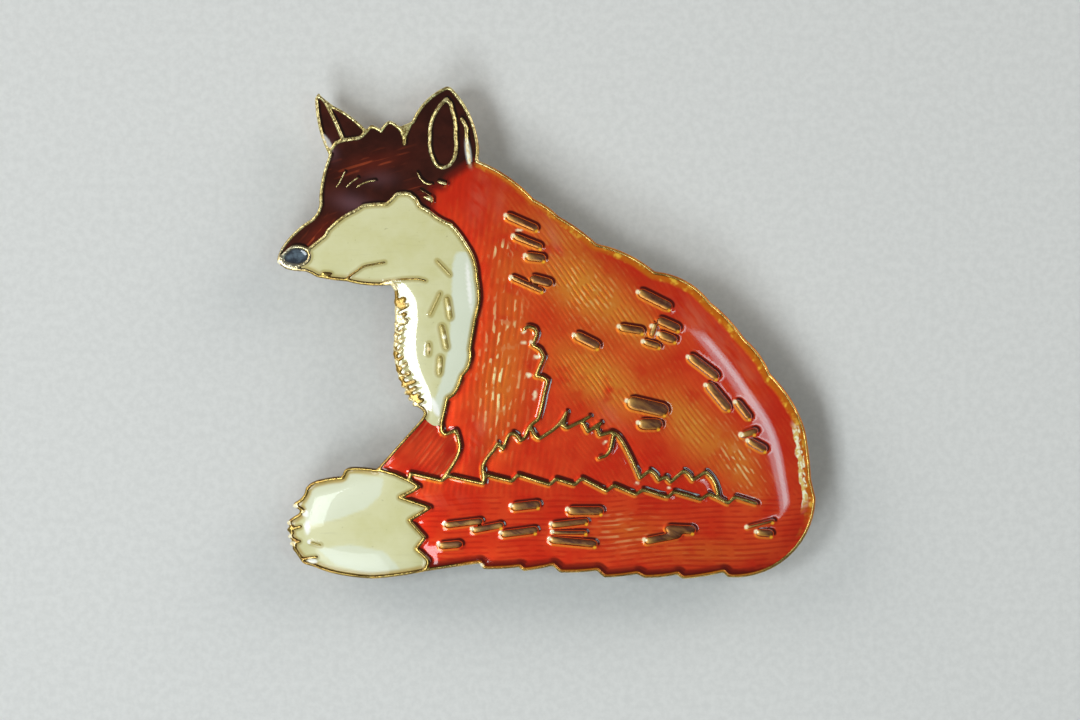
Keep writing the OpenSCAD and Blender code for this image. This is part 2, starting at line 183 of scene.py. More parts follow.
# Small painted highlights where light gathers beside the metal
GLINTS = [
    (537, 357, 0.32, 0.17, 10, 1.2), (529, 375, 0.26, 0.18, 0, 1.3), (535, 395, 0.55, 0.15, 85, 1.1),
    (524, 332, 0.28, 0.13, 30, 1.0), (524, 343, 0.24, 0.15, 0, 1.1), (531, 342, 0.2, 0.2, 0, 0.9),
    (519, 230, 0.42, 0.13, 0, 0.9), (605, 442, 0.28, 0.16, 20, 0.9), (637, 483, 0.24, 0.16, 0, 0.8),
    (669, 488, 0.24, 0.16, 0, 0.8), (742, 435, 0.24, 0.18, 0, 0.8), (481, 566, 0.3, 0.22, 0, 1.2),
    (294, 507, 0.26, 0.24, 0, 1.3), (304, 514, 0.3, 0.3, 0, 1.3), (287, 524, 0.24, 0.24, 0, 1.3),
    (288, 537, 0.24, 0.24, 0, 1.3), (291, 545, 0.26, 0.24, 0, 1.3), (306, 528, 0.28, 0.75, 0, 1.2),
    (311, 562, 0.5, 0.26, -10, 1.2), (278, 262, 0.24, 0.24, 0, 1.5), (326, 141, 0.9, 0.26, -58, 1.3),
    (468, 152, 1.5, 0.3, -82, 1.1), (469, 285, 2.3, 0.2, -85, 1.3), (435, 407, 0.95, 0.27, -68, 1.3),
]
# Pale painted reflections in the red enamel
REFLECTION_VEILS = [
    (552, 238, 2.2, 0.7, -75, 0.7), (479, 196, 2.4, 0.8, 80, 0.5), (500, 200, 2.0, 0.5, 80, 0.4),
    (700, 322, 3.4, 0.9, -42, 0.7), (742, 372, 3.2, 0.9, -55, 0.6), (612, 418, 1.8, 0.8, -50, 0.5),
    (480, 428, 2.0, 0.6, 70, 0.5), (430, 500, 3.0, 0.8, 0, 0.3),
]
# Hazy painted reflections on the head's brown enamel
REFLECTION_HAZES = [
    (352, 203, 1.7, 0.8, -15, 0.8), (380, 178, 1.4, 0.7, 0, 0.4), (328, 148, 1.0, 0.6, -60, 0.9),
]
# Places where the engraved crests get stronger painted highlights
SPARKS = [
    (505, 320, 2.6, 1.2, 80, 0.8), (500, 385, 3.6, 1.6, 85, 1.0), (502, 250, 0.9, 0.7, 0, 1.0),
    (585, 290, 3.0, 2.0, -35, 0.25), (740, 462, 2.6, 1.2, -60, 0.5), (625, 530, 2.0, 1.4, 0, 0.3),
]
# Places where light comes back under the brown enamel of the head, painted as a red glow
HEAD_GLOWS = [
    (372, 162, 3.2, 0.9, 12, 0.7), (318, 232, 1.8, 0.6, 48, 1.0), (425, 196, 1.6, 0.7, -35, 0.7),
]

# Fields of the enamels: soft spots of painted light and reflection, and zones that fade out between two
# places along a direction
FLOWS = {
    "red": {"glow": GLOWS, "spark": SPARKS, "rump": RUMP, "reflection_veil": REFLECTION_VEILS},
    "brown": {"glow": HEAD_GLOWS, "hazy_reflection": REFLECTION_HAZES},
}
FADES = {
    "red": {"slim": ((1, 0), -2, 12), "neck": ((1, 0.25), -2.5, 1.0), "tail": ((0, 1), -15.6, -14.4)},
    "brown": {"muzzle": ((0, 1), 10.0, 12.0)},
}

# Engraved lines under the enamels: turn in degrees, spacing and length of a painted highlight dash in mm
ENGRAVINGS = {
    "haunch": (-54, 0.42, 0.9), "neck": (84, 0.58, 1.0), "tail": (2, 0.5, 1.8),
    "leg": (50, 0.46, 1.8), "brow": (16, 0.5, 2.4), "muzzle": (50, 0.42, 2.0),
}

# Colours as red, green and blue screen values from 0 to 255
# The shades, gleams, glows, glints, sparks, embers, highlights, reflections and lit or light tones are
# painted light and shade
TONES = dict(
    red=(208, 42, 14), orange_red=(222, 66, 26), painted_golden_glow=(224, 142, 46), groove=(186, 28, 4),
    tail_stroke=(172, 24, 6), highlight_dash=(236, 172, 84), reflection_veil=(226, 128, 96), spark=(255, 236, 170),
    red_shade=(84, 14, 4), red_gleam=(240, 138, 40), rim_shade=(100, 18, 4), rim_light_amber=(212, 108, 12),
    rim_light_bead=(255, 196, 60), rump_light_line=(232, 196, 112), rump_light_bead=(255, 252, 212), ember=(255, 184, 44),
    glint=(255, 240, 196), seam=(112, 22, 8), leg_red=(190, 34, 12), leg_orange=(206, 60, 26),
    leg_highlight_dash=(226, 120, 70), leg_shade=(96, 20, 6), leg_gleam=(230, 120, 40), brown=(48, 16, 7),
    warm_brown=(68, 26, 15), brown_glow=(116, 32, 14), lit_brown_streak=(158, 66, 34), hazy_reflection=(112, 76, 82),
    brown_shade=(28, 10, 4), brown_glint=(226, 220, 214), cream=(212, 206, 146), pale_cream=(220, 215, 164),
    cream_streak=(190, 184, 132), cream_speck=(150, 140, 92), cool_sheet_reflection=(226, 231, 210),
    cream_wall_shade=(180, 164, 90), cream_rim=(150, 122, 50), pale_cream_rim=(214, 184, 96),
    cream_glint=(255, 252, 240), slate=(28, 34, 44), pale_slate=(84, 98, 108), slate_shade=(22, 22, 24),
    gold=(184, 158, 88), olive_gold=(150, 122, 58), stain=(112, 66, 28), gold_gleam=(240, 202, 108),
    gold_shade=(88, 58, 24), pale_gold=(248, 236, 174), dull_pale_gold=(226, 204, 128),
    rim_light_gold=(226, 136, 30), dull_rim_light_gold=(190, 100, 20), tuft=(84, 40, 18), tuft_streak=(134, 84, 36),
    tuft_lit_end=(226, 170, 84), tuft_gleam=(244, 160, 56), tuft_shade=(92, 40, 20), red_creep=(132, 44, 16),
    drop=(190, 172, 98), drop_gleam=(226, 208, 136), drop_shade=(150, 132, 66), tick=(124, 96, 42),
    silver=(206, 204, 186), deep_silver=(150, 146, 124), grain=(130, 96, 44), comb=(158, 122, 40),
    comb_lobe_highlight=(252, 234, 178), gold_ember=(255, 190, 60), warm_painted_highlight=(250, 222, 158), painted_highlight=(255, 248, 214),
    floor=(214, 212, 208), pale_floor=(222, 220, 216),
)

# Setting
FLOOR_HALF = 1200
CAMERA_HEIGHT = 450
WORLD_COLOUR = (0.12, 0.12, 0.125, 1)
LIGHT_AIM = (0, -3, 6)
COOL, STREAK, WARM = (0.88, 0.96, 1.0), (0.5, 0.93, 1.0), (1.0, 0.97, 0.93)
# Columns: name, place, direction of the first side, both sides in mm, power in watts, colour
LIGHTS = [
    ("window", (-235, -25, 450), (0, 1, 0), (150, 130), 0.85, COOL),
    ("low_window", (-165, -290, 420), (0, 1, 0), (230, 150), 0.9, (0.86, 0.95, 1.0)),
    ("strip", (149, -32, 490), (0.5, -0.87, 0), (152, 19), 0.043, STREAK),
    ("strip_halo", (149, -32, 492), (0.5, -0.87, 0), (166, 44), 0.078, STREAK),
    ("left_box", (-640, 400, 400), (1, 1, 0), (500, 500), 2.4, WARM),
    ("right_box", (640, 400, 400), (1, -1, 0), (500, 500), 2.4, WARM),
]


def photo_place(x, y):
    """Place in millimetres of a pixel of the photograph."""
    return np.array([(x - FOX_CENTRE_PX[0]) * MM_PER_PX, (FOX_CENTRE_PX[1] - y) * MM_PER_PX])


def cos_sin(degrees):
    return math.cos(math.radians(degrees)), math.sin(math.radians(degrees))


def glow_at(places, spots):
    """Sum of the soft spots at each place."""
    total = np.zeros(len(places))
    for x, y, length, width, turn, strength in spots:
        away = places - photo_place(x, y)
        c, s = cos_sin(turn)
        along = (away[:, 0] * c + away[:, 1] * s) / length
        across = (-away[:, 0] * s + away[:, 1] * c) / width
        total += strength * np.exp(-(along**2 + across**2))
    return np.clip(total, 0, 1)


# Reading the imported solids


def points_of(obj):
    """A mesh's points in millimetres."""
    points = np.empty(len(obj.data.vertices) * 3)
    obj.data.vertices.foreach_get("co", points)
    return points.reshape(-1, 3) / MM


def top_triangles(obj):
    """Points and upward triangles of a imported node, with shared corners merged."""
    mesh, points = obj.data, points_of(obj)
    mesh.calc_loop_triangles()
    triangles = np.empty(len(mesh.loop_triangles) * 3, np.int32)
    mesh.loop_triangles.foreach_get("vertices", triangles)
    triangles = triangles.reshape(-1, 3)
    _, first, merged = np.unique(points.round(MERGE_DECIMALS), axis=0, return_index=True, return_inverse=True)
    points, triangles = points[first], merged.ravel()[triangles]
    a, b, c = (points[triangles[:, i]] for i in range(3))
    normal = np.cross(b - a, c - a)
    length = np.linalg.norm(normal, axis=1)
    upward = (length > TINY) & (normal[:, 2] > UPWARD * length)
    return points, triangles[upward]


def loops_of(triangles):
    """Closed loops of point numbers round a set of triangles, which lie to the left of them."""
    known = {tuple(side) for ends in ([0, 1], [1, 2], [2, 0]) for side in triangles[:, ends].tolist()}
    following = {}
    for a, b in known:
        if (b, a) not in known:
            following.setdefault(a, []).append(b)
    loops = []
    while following:
        start = min(following)
        loop, at = [start], start
        while True:
            onward = following[at]
            step = onward.pop()
            if not onward:
                del following[at]
            if step == start or step not in following:
                break
            loop.append(step)
            at = step
        if len(loop) > 2:
            loops.append(loop)
    return loops


def area_of(loop):
    """Signed area of a closed loop of flat points."""
    x, y = loop[:, 0], loop[:, 1]
    return 0.5 * float(np.sum(x * np.roll(y, -1) - np.roll(x, -1) * y))


def resampled(loop, step, rounds):
    """A closed loop with even steps and its corners rounded a little."""
    closed = np.vstack([loop, loop[:1]])
    lengths = np.linalg.norm(np.diff(closed, axis=0), axis=1)
    along = np.concatenate([[0], np.cumsum(lengths)])
    count = max(LEAST_STEPS, int(round(along[-1] / step)))
    at = np.linspace(0, along[-1], count, endpoint=False)
    even = np.column_stack([np.interp(at, along, closed[:, i]) for i in range(2)])
    for _ in range(rounds):
        even = 0.5 * even + 0.25 * (np.roll(even, 1, axis=0) + np.roll(even, -1, axis=0))
    return even


def inward_normals(loop):
    """Unit normals to the left of a closed loop."""
    tangent = np.roll(loop, -1, axis=0) - np.roll(loop, 1, axis=0)
    tangent /= np.maximum(np.linalg.norm(tangent, axis=1, keepdims=True), TINY)
    return np.column_stack([-tangent[:, 1], tangent[:, 0]])


class Edges:
    """Closed loops that can be asked for the nearest place on them."""

    def __init__(self, loops):
        self.loops = loops
        self.points = np.vstack(loops)
        counts = [len(loop) for loop in loops]
        starts = np.cumsum([0] + counts[:-1])
        self.after = np.concatenate([s + np.roll(np.arange(n), -1) for s, n in zip(starts, counts)])
        self.before = np.concatenate([s + np.roll(np.arange(n), 1) for s, n in zip(starts, counts)])
        self.tree = kdtree.KDTree(len(self.points))
        for i, (x, y) in enumerate(self.points.tolist()):
            self.tree.insert((x, y, 0), i)
        self.tree.balance()

    def nearest(self, places):
        """Nearest points on the loops to the given places, and how far they are."""
        found = np.array([self.tree.find((x, y, 0))[1] for x, y in places.tolist()])
        best = self.points[found]
        reach = np.linalg.norm(places - best, axis=1)
        for other in (self.after[found], self.before[found]):
            a, b = self.points[found], self.points[other]
            span = b - a
            share = np.sum((places - a) * span, axis=1) / np.maximum(np.sum(span * span, axis=1), TINY)
            on = a + np.clip(share, 0, 1)[:, None] * span
            far = np.linalg.norm(places - on, axis=1)
            closer = far < reach
            best[closer], reach[closer] = on[closer], far[closer]
        return best, reach


def distance_to(points, places):
    """How far each place is from the nearest of some points."""
    if len(points) == 0:
        return np.full(len(places), NOWHERE)
    return np.array([np.sqrt(((points - place) ** 2).sum(1).min()) for place in places])


def sides_of(loops):
    """Start and end points of all sides of closed loops."""
    return np.vstack(loops), np.vstack([np.roll(loop, -1, axis=0) for loop in loops])


def crossings(starts, ends, y):
    """Where sides cross a row, in order."""
    crossing = (starts[:, 1] <= y) != (ends[:, 1] <= y)
    p, q = starts[crossing], ends[crossing]
    return np.sort(p[:, 0] + (y - p[:, 1]) / (q[:, 1] - p[:, 1]) * (q[:, 0] - p[:, 0]))


class Blurred:
    """The share of a region round a place, as a smooth field on a raster."""

    def __init__(self, loops, blur):
        starts, ends = sides_of(loops)
        margin = RASTER_MARGIN * blur
        self.low = starts.min(0) - margin
        size = np.ceil((starts.max(0) + margin - self.low) / RASTER_STEP).astype(int) + 1
        columns, rows = (low + np.arange(count) * RASTER_STEP for low, count in zip(self.low, size))
        mask = np.array([np.searchsorted(crossings(starts, ends, y), columns) % 2 for y in rows], float)
        last = int(KERNEL_REACH * blur / RASTER_STEP)
        kernel = np.exp(-0.5 * (np.arange(-last, last + 1) * RASTER_STEP / blur) ** 2)
        kernel /= kernel.sum()
        for axis in (1, 0):
            mask = np.apply_along_axis(np.convolve, axis, mask, kernel, "same")
        self.values = mask

    def at(self, places):
        """Values at the given places, through smooth cubic weights."""
        grid = (places - self.low) / RASTER_STEP
        cell = np.floor(grid).astype(int)
        across, along = (self.weights(share) for share in (grid - cell).T)
        total = np.zeros(len(places))
        for i in range(4):
            for j in range(4):
                x = np.clip(cell[:, 0] + i - 1, 0, self.values.shape[1] - 1)
                y = np.clip(cell[:, 1] + j - 1, 0, self.values.shape[0] - 1)
                total += across[i] * along[j] * self.values[y, x]
        return total

    @staticmethod
    def weights(t):
        """Cubic spline weights of the four neighbours of a share t."""
        return [(1 - t) ** 3 / 6, (3 * t**3 - 6 * t**2 + 4) / 6,
                (-3 * t**3 + 3 * t**2 + 3 * t + 1) / 6, t**3 / 6]


def read_frame():
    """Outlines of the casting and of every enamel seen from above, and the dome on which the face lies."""
    enamel_tops = {name: top_triangles(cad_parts[name]) for name in ENAMELS}
    low = np.vstack([points[np.unique(triangles)] for points, triangles in enamel_tops.values()])
    terms = np.column_stack([np.ones(len(low)), low[:, 0], low[:, 1], low[:, 0] ** 2 + low[:, 1] ** 2])
    dome = np.linalg.lstsq(terms, low[:, 2], rcond=None)[0]
    points, triangles = top_triangles(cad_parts["metal_body"])
    centres = points[triangles].mean(1)
    above = centres[:, 2] - dome_height(dome, centres)
    top = triangles[above > 0]
    dome[0] += np.median(above[above > 0])
    tops = {"metal_body": (points, top), **enamel_tops}
    return {name: [corners[loop][:, :2] for loop in loops_of(flat)]
            for name, (corners, flat) in tops.items()}, dome


def dome_height(dome, places):
    """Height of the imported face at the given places."""
    x, y = places[:, 0], places[:, 1]
    return dome[0] + dome[1] * x + dome[2] * y + dome[3] * (x * x + y * y)


# Building meshes


def inner_points(edges, distances, step, clear):
    """Rings of points inside the loops at the given distances, then a grid further in."""
    found = []
    for distance in distances:
        for loop in edges.loops:
            places = loop + inward_normals(loop) * distance
            reach = edges.nearest(places)[1]
            found.append(places[reach > RING_SHARE * distance])
    low, high = edges.points.min(0), edges.points.max(0)
    columns = np.arange(low[0], high[0], step)
    rows = np.arange(low[1], high[1], step * math.sqrt(0.75))
    grid = np.array([(x + (i % 2) * step / 2, y) for i, y in enumerate(rows) for x in columns])
    grid = grid[edges.nearest(grid)[1] > clear]
    return np.vstack(found + [grid[inside(edges.loops, grid)]])


def inside(loops, places):
    """Which places lie inside the loops, by counting crossings of each place's row."""
    starts, ends = sides_of(loops)
    result = np.zeros(len(places), bool)
    rows, members = np.unique(places[:, 1], return_inverse=True)
    order = np.argsort(members.ravel(), kind="stable")
    limits = np.searchsorted(members.ravel()[order], np.arange(len(rows) + 1))
    for row, y in enumerate(rows):
        which = order[limits[row]:limits[row + 1]]
        result[which] = np.searchsorted(crossings(starts, ends, y), places[which, 0]) % 2 == 1
    return result


def triangulated(loops, extra):
    """Points and triangles that fill the loops through extra points, and the loop points' new numbers."""
    points, edges = [], []
    for loop in loops:
        start = len(points)
        points += [Vector(p) for p in loop.tolist()]
        edges += [(start + i, start + (i + 1) % len(loop)) for i in range(len(loop))]
    on_loops = len(points)
    points += [Vector(p) for p in extra.tolist()]
    made, _, faces, sources, *_ = delaunay_2d_cdt(points, edges, [], 0, CDT_REACH)
    flat, faces = np.array([tuple(p) for p in made]), np.array(faces)
    went = np.zeros(on_loops, int)
    bounds = np.zeros(len(flat), bool)
    for number, source in enumerate(sources):
        own = [i for i in source if i < on_loops]
        went[own] = number
        bounds[number] = bool(own) or not source
    bounded = np.all(bounds[faces], axis=1)
    kept = np.ones(len(faces), bool)
    kept[bounded] = inside(loops, flat[faces[bounded]].mean(1))
    return flat, faces[kept], went


def lip(distance, width, depth):
    """Drop of a round lip of the given width and depth at a distance inside its edge."""
    inward = np.clip(1 - distance / width, 0, 1)
    return depth * (1 - np.sqrt(1 - inward**2))


def add_object(name, data):
    """A new object in the scene."""
    made = bpy.data.objects.new(name, data)
    bpy.context.scene.collection.objects.link(made)
    return made


def add_field(obj, name, values):
    """Stores a number for each point of a mesh object."""
    attribute = obj.data.attributes.new(name, "FLOAT", "POINT")
    attribute.data.foreach_set("value", np.asarray(values, np.float32))


def add_mesh(name, points, faces, fields):
    """A smooth mesh object from millimetre points, with its fields."""
    mesh = bpy.data.meshes.new(name)
    mesh.from_pydata((points * MM).tolist(), [], [list(map(int, face)) for face in faces])
    mesh.shade_smooth()
    mesh.update()
    obj = add_object(name, mesh)
    for field, values in fields.items():
        add_field(obj, field, values)
    return obj


def skirt(tops, levels, start):
    """Points, faces and lowest row of a side that goes down from numbered points through levels."""
    faces, above = [], tops
    for _ in levels:
        row = start + np.arange(len(tops))
        faces += zip(above, row, np.roll(row, -1), np.roll(above, -1))
        above = row
        start += len(tops)
    return np.vstack(levels), faces, above


def smooth_share(values, low, high):
    """Zero below low, one above high, smooth between."""
    t = np.clip((values - low) / (high - low), 0, 1)
    return t * t * (3 - 2 * t)


def on_reflected_sheets(places):
    """How far each place lies on a painted reflection of a cool sheet."""
    total = np.zeros(len(places))
    for sheet in REFLECTED_SHEETS:
        outline = resampled(np.array([photo_place(x, y) for x, y in sheet]), SHEET_STEP, SHEET_ROUNDS)
        gap = Edges([outline]).nearest(places)[1]
        total += smooth_share(np.where(inside([outline], places), gap, -gap), *SHEET_FADE)
    return total


def shine_places(tufts):
    """Where each tuft gets its painted highlight: its left end, or its middle on the bib."""
    places = []
    for loop in tufts:
        middle, reach = loop.mean(0), np.ptp(loop, axis=0)
        slim = area_of(loop) < SLIM_SHARE * float(reach @ reach)
        on_bib = middle[0] < BIB_RIGHT and middle[1] > BIB_LOW
        if on_bib and (slim or middle[1] > BIB_TOP):
            continue
        places.append(middle if on_bib else loop[np.argmax(loop @ SHINE_WAY)])
    return np.array(places)


def ember_places(tufts):
    """The lowest place of each tuft, where painted golden light glows."""
    return np.array([loop[np.argmax(loop @ EMBER_WAY)] for loop in tufts])


def near_to(points, places, reach):
    """How near each place is to the nearest of some points."""
    return np.exp(-(distance_to(points, places) / reach) ** 2)


def ember_at(shape, places):
    """How much painted golden light each place gets under a tuft's lower end."""
    return smooth_share(LIGHT_GAIN * near_to(shape.embers, places, EMBER_REACH), *EMBER_FADE)


def shine_at(shape, places):
    """How strong the painted highlight is at each place."""
    ends = near_to(shape.shines, places, SHINE_REACH)
    return smooth_share(LIGHT_GAIN * ends + glow_at(places, GLINTS), *SHINE_FADE)


def on_head(places):
    """How far each place belongs to the fox's head."""
    return smooth_share(places[:, 1], *HEAD_LOW) * (1 - smooth_share(places[:, 0], *HEAD_RIGHT))


class Shape:
    """Heights of the whole face, from the frame's dome and outlines."""

    def __init__(self):
        raw, self.dome = read_frame()
        self.outlines = {name: [resampled(loop, EDGE_STEP, CORNER_ROUNDS) for loop in loops]
                         for name, loops in raw.items()}
        metal = self.outlines["metal_body"]
        self.outline = max(metal, key=lambda loop: abs(area_of(loop)))
        self.walls = [loop for loop in metal if loop is not self.outline]
        self.tufts = [loop for loop in self.walls if area_of(loop) > 0]
        small = [loop for loop in self.tufts if area_of(loop) < TUFT_AREA]
        self.shines = shine_places(small)
        self.embers = ember_places([loop for loop in small if loop[:, 0].mean() > BIB_RIGHT])
        self.metal_edges = Edges(metal)
        self.wall_edges = Edges(self.walls)
        self.rim_edges = Edges([self.outline])
        self.roll = Blurred([self.outline], ROLL_BLUR)

    def face(self, places):
        """Height of the wall tops."""
        drop = ROLL_DROP * 2 * (1 - self.roll.at(places)) * (1 - glow_at(places, FLATS))
        return dome_height(self.dome, places) - WALL_DROP - drop


def casting_top(shape):
    """Points and triangles of the wall tops and tufts, where the loop points went, and the fields."""
    edges = shape.metal_edges
    rings = [WALL_ROUND * share for share in LIP_RINGS]
    flat, faces, went = triangulated(edges.loops, inner_points(edges, rings, WALL_GRID, WALL_CLEAR))
    near, reach = edges.nearest(flat)
    free = Edges(shape.tufts).nearest(flat)[1] < reach + CLOSE
    drop = np.where(free, lip(reach, TUFT_ROUND, TUFT_DEPTH), lip(reach, WALL_ROUND, WALL_ROUND))
    inward = (flat - near) / np.maximum(reach, CLOSE)[:, None]
    inward[went] = np.vstack([inward_normals(loop) for loop in edges.loops])
    fields = casting_fields(shape, flat, free, inward, reach)
    return np.column_stack([flat, shape.face(flat) - drop]), faces, went, fields


def build_casting(shape):
    """The gold casting: rounded wall tops and tufts, cell sides and floors, outer side and back."""
    points, faces, went, fields = casting_top(shape)
    faces, parts, total, passed = faces.tolist(), [points], len(points), 0
    outer, cells = ([], []), ([], [])
    for loop in shape.metal_edges.loops:
        tops = went[passed:passed + len(loop)]
        passed += len(loop)
        height = points[tops, 2]
        if loop is shape.outline:
            levels, (loops, numbers) = outer_levels(loop, height), outer
        else:
            levels, (loops, numbers) = [np.column_stack([loop, height - SKIRT_DEPTH])], cells
        made, sides, last = skirt(tops, levels, total)
        parts.append(made)
        faces += sides
        total += len(made)
        loops.append(made[-len(loop):, :2])
        numbers.append(last)
    back, triangles = plate(*outer, total, lambda places: np.full(len(places), frame_back()))
    faces += triangles[:, ::-1].tolist()
    floor, triangles = plate(*cells, total + len(back),
                             lambda places: shape.face(places) - WALL_ROUND - SKIRT_DEPTH)
    faces += triangles.tolist()
    points = np.vstack(parts + [back, floor])
    fields = {key: np.append(values, np.zeros(len(points) - len(values))) for key, values in fields.items()}
    return add_mesh("casting", points, faces, fields)


def casting_fields(shape, flat, free, inward, reach):
    """Where the top of the casting is a tuft or pale, where it gets painted light and shade, painted amber
    rim light, painted highlights and painted golden light, and so on.
    """
    x, y = flat[:, 0], flat[:, 1]
    on_cream = (x < BIB_RIGHT) & (y > BIB_LOW) | (x < TIP_RIGHT)
    toward = inward @ GLEAM
    rim = np.clip(RIM_SHARE - shape.rim_edges.nearest(flat)[1] / RIM_WIDTH, 0, 1)
    head = on_head(flat)
    return {
        "tuft": free & ~on_cream,
        "lit_end": near_to(shape.shines, flat, LIT_END_REACH),
        "brink": np.clip(1 - reach / BRINK_WIDTH, 0, 1),
        "drop": free & on_cream & (y < BIB_TOP),
        # Painted light on flanks that face the lower left, painted shade on flanks that face the upper right
        "lit": toward * np.clip(1 - reach / TUFT_ROUND, 0, 1),
        "pale": head,
        # Painted amber light on the upper right part of the outer rim, away from the head
        "painted_rim_light": smooth_share(-toward, *RIM_LIGHT_TURN) * rim * (1 - head) * smooth_share(x, *RIM_LIGHT_LEFT),
        "comb": glow_at(flat, COMBS),
        "silver": glow_at(flat, SILVER),
        "shine": shine_at(shape, flat),
        "ember": ember_at(shape, flat),
    }


def frame_back():
    """Height of the casting's back in the frame."""
    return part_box("metal_body")[0].z / MM


def outer_levels(loop, height):
    """Rows of the outer side, from under the rim's lip to the back's rounded edge."""
    back, inward = frame_back(), inward_normals(loop)
    levels = [np.column_stack([loop, height + (back + BACK_ROUND - height) * share]) for share in SIDE_ROWS]
    for turn in BACK_TURNS:
        c, s = cos_sin(turn)
        places = loop + inward * BACK_ROUND * (1 - c)
        levels.append(np.column_stack([places, np.full(len(loop), back + BACK_ROUND * (1 - s))]))
    return levels


def plate(loops, numbers, start, height):
    """A face that fills loops of numbered points, through a coarse grid of new points at a height."""
    flat, faces, went = triangulated(loops, inner_points(Edges(loops), [], PLATE_STEP, PLATE_CLEAR))
    table = np.full(len(flat), -1)
    table[went] = np.concatenate(numbers)
    spare = np.flatnonzero(table < 0)
    table[spare] = start + np.arange(len(spare))
    return np.column_stack([flat[spare], height(flat[spare])]), table[faces]


def underside(shape, top, loops, went):
    """Sides and a bottom for an enamel, with edges of their own so that its top keeps its shading."""
    def height(places):
        return shape.face(places) - GLAZE_DEPTH

    parts, faces, lasts = [top[went]], [], []
    passed = len(top)
    total = passed + len(went)
    for loop in loops:
        tops = passed + np.arange(len(loop))
        made, sides, last = skirt(tops, [np.column_stack([loop, height(loop)])], total)
        parts.append(made)
        faces += sides
        lasts.append(last)
        passed += len(loop)
        total += len(made)
    bottom, triangles = plate(loops, lasts, total, height)
    return np.vstack(parts + [bottom]), faces + triangles[:, ::-1].tolist()


def enamel_edge(shape, name):
    """An enamel's loops, pushed a little under the metal or over a seam."""
    reached = []
    for loop in shape.outlines[name]:
        gap = shape.metal_edges.nearest(loop)[1]
        push = np.where(gap < ON_METAL, gap + ENAMEL_BURY, SEAM_REACH)
        reached.append(loop - inward_normals(loop) * push[:, None])
    return reached


def enamel_height(shape, name, reached, flat):
    """Height of an enamel, which sinks in the middle of its cell and climbs at the metal."""
    cell = Blurred([loop for loop in reached if area_of(loop) > 0 or area_of(loop) < -TUFT_AREA], CELL_BLUR)
    sunk = CELL_DROP * 2 * (1 - np.clip(cell.at(flat), 0.5, 1)) * (1 - glow_at(flat, FLATS))
    gap = shape.metal_edges.nearest(flat)[1]
    climb = MENISCUS_RISE[ENAMELS[name]] * np.exp(-(gap / MENISCUS_WIDTH) ** 2)
    return shape.face(flat) - ENAMEL_DROP - sunk + climb


def enamel_fields(shape, name, flat):
    """How far walls, rim and seam are, and which way walls and rim lie."""
    seam = np.vstack([loop[shape.metal_edges.nearest(loop)[1] >= OFF_METAL] for loop in shape.outlines[name]])
    fields = {"seam_gap": distance_to(seam, flat)}
    for key, edges in (("wall", shape.wall_edges), ("rim", shape.rim_edges)):
        near, gap = edges.nearest(flat)
        away = (flat - near) / np.maximum(gap, CLOSE)[:, None]
        fields.update({key + "_gap": gap, key + "_x": away[:, 0], key + "_y": away[:, 1]})
    return fields


def build_enamel(shape, name):
    """One enamel: a glossy face that climbs a little where it meets the metal, sides and a bottom."""
    reached = enamel_edge(shape, name)
    rings = [ENAMEL_BURY + far for far in GLAZE_RINGS]
    extra = inner_points(Edges(reached), rings, GLAZE_GRID, GLAZE_CLEAR + ENAMEL_BURY)
    flat, faces, went = triangulated(reached, extra)
    top = np.column_stack([flat, enamel_height(shape, name, reached, flat)])
    below, sides = underside(shape, top, reached, went)
    spare = np.zeros(len(below) - len(went))
    fields = {key: np.concatenate([values, values[went], spare])
              for key, values in enamel_fields(shape, name, flat).items()}
    return add_mesh(name + "_glaze", np.vstack([top, below]), faces.tolist() + sides, fields)


# Materials


